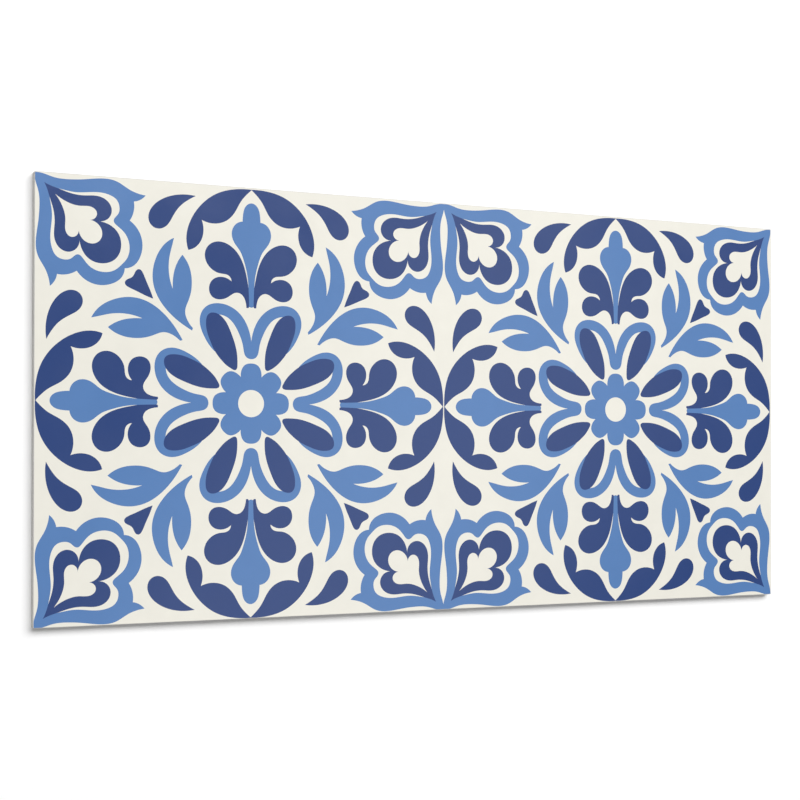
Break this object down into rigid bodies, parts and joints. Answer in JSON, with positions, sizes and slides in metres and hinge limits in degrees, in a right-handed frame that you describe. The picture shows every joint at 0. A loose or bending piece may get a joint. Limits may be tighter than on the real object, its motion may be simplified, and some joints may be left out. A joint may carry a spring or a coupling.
{
  "type": "peel and stick wall panel",
  "caption": "Flat oblong wall panel of foamed PVC with a blue and cream tile pattern printed on its face and a self-adhesive back, laid edge to edge on a wall.",
  "frame": {"origin": "centre of the adhesive back, which the panel lies on", "axes": "+X along the panel's length, +Y across its width towards the top of the hung panel, +Z out of the printed face"},
  "size_m": [0.6, 0.3, 0.006],
  "materials": {
    "printed_panel": "satin printed face on white foamed PVC, with plain cut edges"
  },
  "bodies": {
    "root": {"wall_panel": "printed_panel"}
  },
  "joints": []
}
